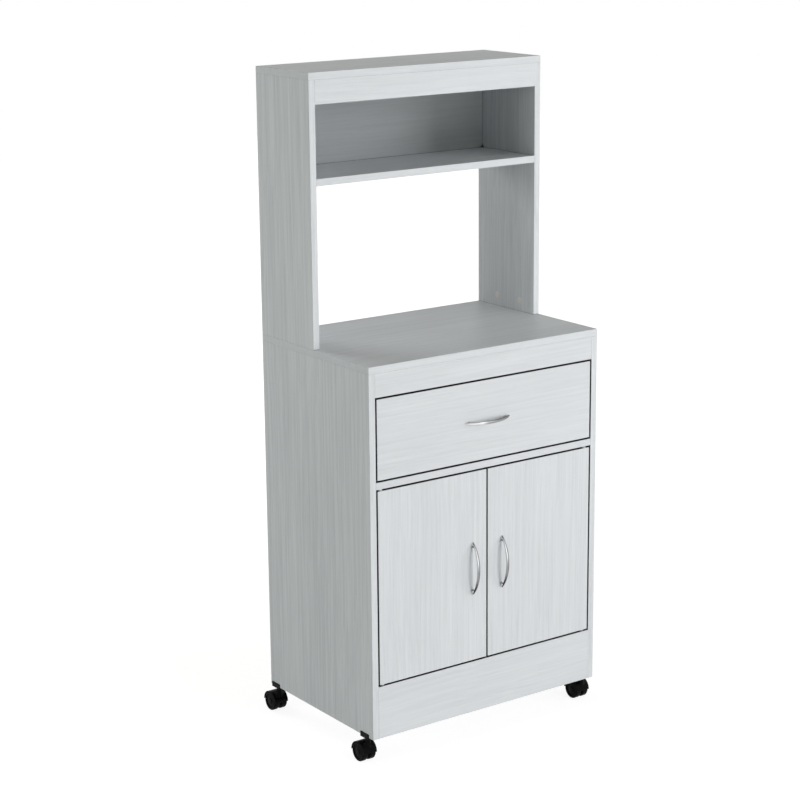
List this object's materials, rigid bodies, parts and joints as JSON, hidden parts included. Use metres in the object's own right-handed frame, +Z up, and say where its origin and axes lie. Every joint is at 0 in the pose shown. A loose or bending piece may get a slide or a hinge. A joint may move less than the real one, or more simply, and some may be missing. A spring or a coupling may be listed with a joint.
{
  "type": "microwave stand",
  "caption": "Rolling kitchen stand in white woodgrain: cupboard with a drawer and two doors, and an open hutch with an oven bay and a shelf bay.",
  "frame": {"origin": "on the floor, under the centre of the bounding box of the whole stand at rest", "axes": "+Z up, the drawer and doors face -Y, +X to the right seen from the front"},
  "size_m": [0.619, 0.4422, 1.432],
  "materials": {
    "white_board": "white-washed woodgrain laminate, satin",
    "hardboard": "plain hardboard, white-washed inner face",
    "zinc_steel": "zinc plated",
    "runner_steel": "white epoxy coated steel",
    "beech": "raw fluted beech",
    "nylon": "natural nylon",
    "nickel": "satin nickel plated",
    "caster_black": "black nylon, semi-gloss",
    "wheel_black": "black nylon wheel",
    "axle_steel": "plain steel"
  },
  "bodies": {
    "cabinet": {"base_left_side": "white_board", "base_right_side": "white_board", "base_deck": "white_board", "base_floor": "white_board", "base_divider": "white_board", "base_top_rail": "white_board", "base_plinth": "white_board", "base_back": "hardboard", "inner_shelf": "white_board", "shelf_pins": "zinc_steel", "hutch_left_side": "white_board", "hutch_right_side": "white_board", "hutch_top": "white_board", "hutch_fascia": "white_board", "hutch_shelf": "white_board", "hutch_back": "white_board", "cam_fittings": "zinc_steel", "wood_dowels": "beech", "fitting_screws": "zinc_steel", "cabinet_runners": "runner_steel", "door_pivot_pins": "zinc_steel", "door_catch": "nylon", "front_left_caster_bracket": "caster_black", "front_right_caster_bracket": "caster_black", "rear_left_caster_bracket": "caster_black", "rear_right_caster_bracket": "caster_black"},
    "drawer": {"drawer_front": "white_board", "drawer_left_side": "white_board", "drawer_right_side": "white_board", "drawer_back": "white_board", "drawer_bottom": "hardboard", "drawer_handle": "nickel", "drawer_fixings": "zinc_steel", "drawer_runners": "runner_steel"},
    "front_rollers": {"front_rollers": "nylon"},
    "rear_rollers": {"rear_rollers": "nylon"},
    "left_door": {"left_door": "white_board", "left_door_handle": "nickel", "left_door_bushes": "nylon", "left_door_fixings": "zinc_steel"},
    "right_door": {"right_door": "white_board", "right_door_handle": "nickel", "right_door_bushes": "nylon", "right_door_fixings": "zinc_steel"},
    "front_left_caster": {"front_left_caster_hood": "caster_black", "front_left_caster_axle": "axle_steel"},
    "front_left_wheel_a": {"front_left_caster_wheel_a": "wheel_black"},
    "front_left_wheel_b": {"front_left_caster_wheel_b": "wheel_black"},
    "front_right_caster": {"front_right_caster_hood": "caster_black", "front_right_caster_axle": "axle_steel"},
    "front_right_wheel_a": {"front_right_caster_wheel_a": "wheel_black"},
    "front_right_wheel_b": {"front_right_caster_wheel_b": "wheel_black"},
    "rear_left_caster": {"rear_left_caster_hood": "caster_black", "rear_left_caster_axle": "axle_steel"},
    "rear_left_wheel_a": {"rear_left_caster_wheel_a": "wheel_black"},
    "rear_left_wheel_b": {"rear_left_caster_wheel_b": "wheel_black"},
    "rear_right_caster": {"rear_right_caster_hood": "caster_black", "rear_right_caster_axle": "axle_steel"},
    "rear_right_wheel_a": {"rear_right_caster_wheel_a": "wheel_black"},
    "rear_right_wheel_b": {"rear_right_caster_wheel_b": "wheel_black"}
  },
  "joints": [
    {"name": "drawer_slide", "type": "slide", "parent": "cabinet", "child": "drawer", "axis": [0, -1, 0], "range_m": [0, 0.261]},
    {"name": "front_rollers_spin", "type": "hinge", "parent": "cabinet", "child": "front_rollers", "pos_m": [0, -0.16615, 0.64395], "axis": [1, 0, 0], "continuous": true},
    {"name": "rear_rollers_spin", "type": "hinge", "parent": "drawer", "child": "rear_rollers", "pos_m": [0, 0.15585, 0.64305], "axis": [1, 0, 0], "continuous": true},
    {"name": "left_door_hinge", "type": "hinge", "parent": "cabinet", "child": "left_door", "pos_m": [-0.271, -0.18965, 0.179], "axis": [0, 0, -1], "range_deg": [0, 110]},
    {"name": "right_door_hinge", "type": "hinge", "parent": "cabinet", "child": "right_door", "pos_m": [0.271, -0.18965, 0.179], "axis": [0, 0, 1], "range_deg": [0, 110]},
    {"name": "front_left_swivel", "type": "hinge", "parent": "cabinet", "child": "front_left_caster", "pos_m": [-0.2925, -0.16615, 0.06], "axis": [0, 0, 1], "continuous": true},
    {"name": "front_left_wheel_a_spin", "type": "hinge", "parent": "front_left_caster", "child": "front_left_wheel_a", "pos_m": [-0.2925, -0.15115, 0.021], "axis": [1, 0, 0], "continuous": true},
    {"name": "front_left_wheel_b_spin", "type": "hinge", "parent": "front_left_caster", "child": "front_left_wheel_b", "pos_m": [-0.2925, -0.15115, 0.021], "axis": [1, 0, 0], "continuous": true},
    {"name": "front_right_swivel", "type": "hinge", "parent": "cabinet", "child": "front_right_caster", "pos_m": [0.2925, -0.16615, 0.06], "axis": [0, 0, 1], "continuous": true},
    {"name": "front_right_wheel_a_spin", "type": "hinge", "parent": "front_right_caster", "child": "front_right_wheel_a", "pos_m": [0.2925, -0.15115, 0.021], "axis": [1, 0, 0], "continuous": true},
    {"name": "front_right_wheel_b_spin", "type": "hinge", "parent": "front_right_caster", "child": "front_right_wheel_b", "pos_m": [0.2925, -0.15115, 0.021], "axis": [1, 0, 0], "continuous": true},
    {"name": "rear_left_swivel", "type": "hinge", "parent": "cabinet", "child": "rear_left_caster", "pos_m": [-0.2925, 0.18285, 0.06], "axis": [0, 0, 1], "continuous": true},
    {"name": "rear_left_wheel_a_spin", "type": "hinge", "parent": "rear_left_caster", "child": "rear_left_wheel_a", "pos_m": [-0.2925, 0.19785, 0.021], "axis": [1, 0, 0], "continuous": true},
    {"name": "rear_left_wheel_b_spin", "type": "hinge", "parent": "rear_left_caster", "child": "rear_left_wheel_b", "pos_m": [-0.2925, 0.19785, 0.021], "axis": [1, 0, 0], "continuous": true},
    {"name": "rear_right_swivel", "type": "hinge", "parent": "cabinet", "child": "rear_right_caster", "pos_m": [0.2925, 0.18285, 0.06], "axis": [0, 0, 1], "continuous": true},
    {"name": "rear_right_wheel_a_spin", "type": "hinge", "parent": "rear_right_caster", "child": "rear_right_wheel_a", "pos_m": [0.2925, 0.19785, 0.021], "axis": [1, 0, 0], "continuous": true},
    {"name": "rear_right_wheel_b_spin", "type": "hinge", "parent": "rear_right_caster", "child": "rear_right_wheel_b", "pos_m": [0.2925, 0.19785, 0.021], "axis": [1, 0, 0], "continuous": true}
  ],
  "couplings": [
    {"joint": "front_rollers_spin", "follows": "drawer_slide", "rad_per_m": 111.11},
    {"joint": "rear_rollers_spin", "follows": "drawer_slide", "rad_per_m": 111.11}
  ]
}
